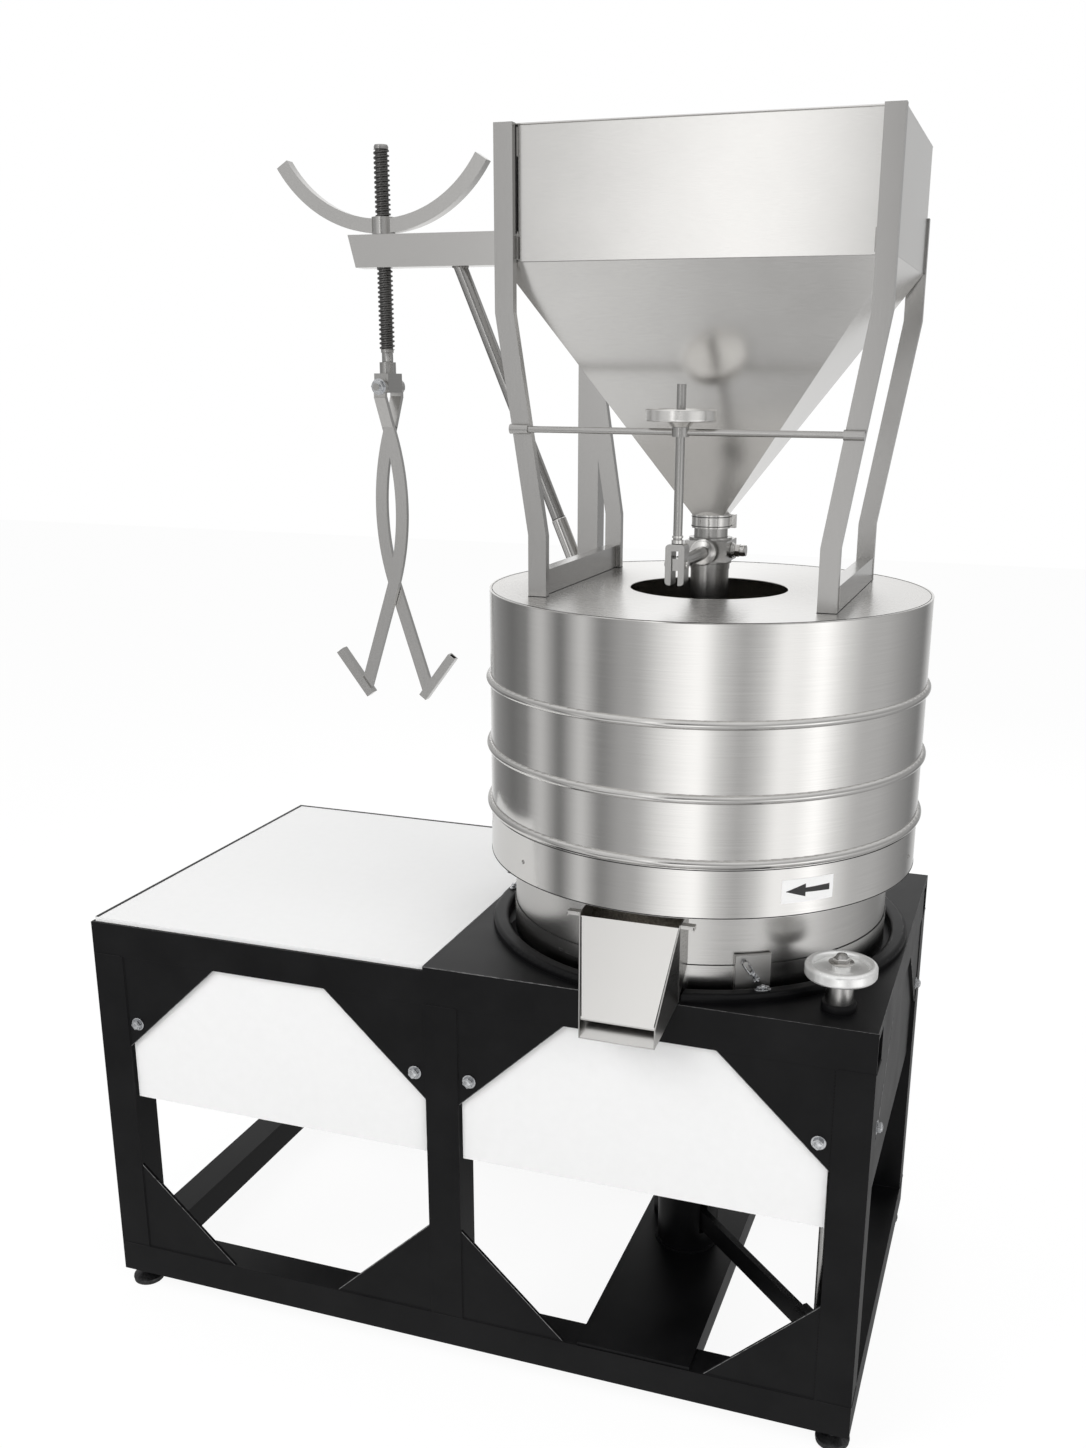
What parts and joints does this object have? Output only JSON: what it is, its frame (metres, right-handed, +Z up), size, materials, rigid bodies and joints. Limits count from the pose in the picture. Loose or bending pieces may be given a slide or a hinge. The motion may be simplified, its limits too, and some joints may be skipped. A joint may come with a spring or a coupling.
{
  "type": "stone grain mill",
  "caption": "Upper-runner stone grain mill on a long table frame, with a feed hopper, front flour spout and a swivelling stone crane",
  "frame": {"origin": "middle of the outer box at floor level, under the levelling feet", "axes": "+X to the right along the front of the table, +Y to the rear, +Z up"},
  "size_m": [1.418, 0.814, 2.115],
  "materials": {
    "powder_coat_black": "satin black powder coat",
    "panel_white": "smooth white painted sheet",
    "zinc_bolts": "zinc-plated fasteners",
    "foot_rubber": "matt black rubber foot on a steel stem",
    "stainless_sheet": "brushed stainless sheet",
    "stainless_bar": "ground stainless bar",
    "drum_steel": "darker brushed stainless",
    "handwheel_alloy": "turned and polished handwheel",
    "screw_steel": "oiled steel thread",
    "millstone": "dressed quartz stone",
    "bronze": "bearing bronze",
    "cast_parts": "machined cast iron",
    "motor_paint": "dark grey motor enamel",
    "belt_rubber": "flat rubber belt"
  },
  "bodies": {
    "stand": {"frame_legs": "powder_coat_black", "top_rails": "powder_coat_black", "bottom_rails": "powder_coat_black", "gussets": "powder_coat_black", "levelling_feet": "foot_rubber", "table_top": "panel_white", "mill_deck": "powder_coat_black", "cross_bearers": "powder_coat_black", "front_panels": "panel_white", "guard_panels": "panel_white", "panel_bolts": "zinc_bolts", "base_channel": "powder_coat_black", "bearing_column": "powder_coat_black", "lever_bracket": "powder_coat_black", "column_bearing": "bronze", "motor": "motor_paint", "motor_mount": "powder_coat_black", "drive_belt": "belt_rubber", "gap_post": "stainless_bar", "bedstone": "millstone", "neck_bearing": "bronze", "lower_drum": "drum_steel", "trough_floor": "drum_steel", "spout": "stainless_sheet", "hood": "stainless_sheet", "hood_skirt": "stainless_sheet", "latch_plates": "drum_steel", "latch_eyes": "powder_coat_black", "stand_bars": "stainless_bar", "stand_legs": "stainless_bar", "tie_rod": "stainless_bar", "hopper": "stainless_sheet", "valve_body": "stainless_bar", "feed_pipe": "stainless_bar", "crane_socket": "stainless_bar"},
    "footstep": {"footstep_cup": "cast_parts"},
    "runner": {"spindle": "stainless_bar", "driven_pulley": "cast_parts", "runner_stone": "millstone", "runner_band": "stainless_bar", "rynd": "cast_parts"},
    "motor_rotor": {"motor_pulley": "cast_parts"},
    "tenter": {"tenter_lever": "powder_coat_black"},
    "tenter_nut": {"gap_nut": "powder_coat_black"},
    "gap_wheel": {"gap_screw": "stainless_bar", "gap_handwheel": "handwheel_alloy"},
    "feed_stem": {"feed_rod": "stainless_bar"},
    "feed_wheel": {"feed_handwheel": "handwheel_alloy"},
    "feed_flap": {"feed_lever": "stainless_bar"},
    "crane": {"crane_post": "stainless_bar", "crane_arm": "stainless_bar", "crane_brace": "stainless_bar"},
    "crane_screw": {"lift_screw": "screw_steel"},
    "crane_handle": {"lift_handle": "stainless_bar"},
    "tong_head": {"tong_block": "stainless_bar"},
    "tong_front": {"tong_arm_left": "stainless_bar"},
    "tong_rear": {"tong_arm_right": "stainless_bar"},
    "toggle_front": {"latch_lever_front": "stainless_bar"},
    "toggle_rear": {"latch_lever_rear": "stainless_bar"},
    "toggle_left": {"latch_lever_left": "stainless_bar"}
  },
  "joints": [
    {"name": "spindle_lift", "type": "slide", "parent": "stand", "child": "footstep", "axis": [0, 0, 1], "range_m": [0, 0.006]},
    {"name": "stone_spin", "type": "hinge", "parent": "footstep", "child": "runner", "pos_m": [0.3275, 0.0255, 0.9], "axis": [0, 0, 1], "continuous": true},
    {"name": "motor_spin", "type": "hinge", "parent": "stand", "child": "motor_rotor", "pos_m": [-0.2325, 0.0255, 0.48], "axis": [0, 0, 1], "continuous": true},
    {"name": "tenter_tilt", "type": "hinge", "parent": "stand", "child": "tenter", "pos_m": [0.2674, 0.0856, 0.17], "axis": [-0.7071, -0.7071, 0], "range_deg": [0, 4.05]},
    {"name": "nut_travel", "type": "slide", "parent": "stand", "child": "tenter_nut", "axis": [0, 0, 1], "range_m": [0, 0.03318]},
    {"name": "gap_wheel_turn", "type": "hinge", "parent": "stand", "child": "gap_wheel", "pos_m": [0.628, -0.275, 0.83], "axis": [0, 0, 1], "range_deg": [0, 3981.9]},
    {"name": "feed_travel", "type": "slide", "parent": "stand", "child": "feed_stem", "axis": [0, 0, 1], "range_m": [-0.02, 0.02]},
    {"name": "feed_wheel_turn", "type": "hinge", "parent": "stand", "child": "feed_wheel", "pos_m": [0.3275, -0.19, 1.64], "axis": [0, 0, 1], "range_deg": [-4115.3, 4115.3]},
    {"name": "feed_flap_tilt", "type": "hinge", "parent": "stand", "child": "feed_flap", "pos_m": [0.3275, -0.0195, 1.425], "axis": [-1, 0, 0], "range_deg": [-6.73, 6.73]},
    {"name": "crane_swing", "type": "hinge", "parent": "stand", "child": "crane", "pos_m": [0.02, 0.315, 0.86], "axis": [0, 0, 1], "range_deg": [-110, 55]},
    {"name": "crane_lift", "type": "slide", "parent": "crane", "child": "crane_screw", "axis": [0, 0, 1], "range_m": [-0.1, 0.14]},
    {"name": "lift_handle_turn", "type": "hinge", "parent": "crane", "child": "crane_handle", "pos_m": [-0.40233, 0.315, 1.97], "axis": [0, 0, 1], "range_deg": [-4001, 5601]},
    {"name": "tong_swivel", "type": "hinge", "parent": "crane_screw", "child": "tong_head", "pos_m": [-0.40233, 0.315, 1.71], "axis": [0, 0, 1], "continuous": true},
    {"name": "front_tong_swing", "type": "hinge", "parent": "tong_head", "child": "tong_front", "pos_m": [-0.40233, 0.315, 1.679], "axis": [0, 1, 0], "range_deg": [-2, 24]},
    {"name": "rear_tong_swing", "type": "hinge", "parent": "tong_head", "child": "tong_rear", "pos_m": [-0.40233, 0.315, 1.679], "axis": [0, -1, 0], "range_deg": [-2, 24]},
    {"name": "front_toggle_turn", "type": "hinge", "parent": "stand", "child": "toggle_front", "pos_m": [0.478, -0.27696, 0.82], "axis": [0.4848, -0.8746, 0], "range_deg": [0, 60]},
    {"name": "rear_toggle_turn", "type": "hinge", "parent": "stand", "child": "toggle_rear", "pos_m": [0.51418, 0.30707, 0.82], "axis": [0.515, 0.8572, 0], "range_deg": [0, 60]},
    {"name": "left_toggle_turn", "type": "hinge", "parent": "stand", "child": "toggle_left", "pos_m": [-0.00969, 0.04639, 0.82], "axis": [-0.9998, 0.0175, 0], "range_deg": [0, 60]}
  ],
  "couplings": [
    {"joint": "motor_spin", "follows": "stone_spin", "ratio": 4},
    {"joint": "tenter_tilt", "follows": "spindle_lift", "rad_per_m": 11.765},
    {"joint": "nut_travel", "follows": "spindle_lift", "ratio": 5.5291},
    {"joint": "gap_wheel_turn", "follows": "spindle_lift", "rad_per_m": 11580},
    {"joint": "feed_wheel_turn", "follows": "feed_travel", "rad_per_m": 3590.4},
    {"joint": "feed_flap_tilt", "follows": "feed_travel", "rad_per_m": 5.8651},
    {"joint": "lift_handle_turn", "follows": "crane_lift", "rad_per_m": 698.13},
    {"joint": "rear_tong_swing", "follows": "front_tong_swing", "ratio": 1}
  ]
}
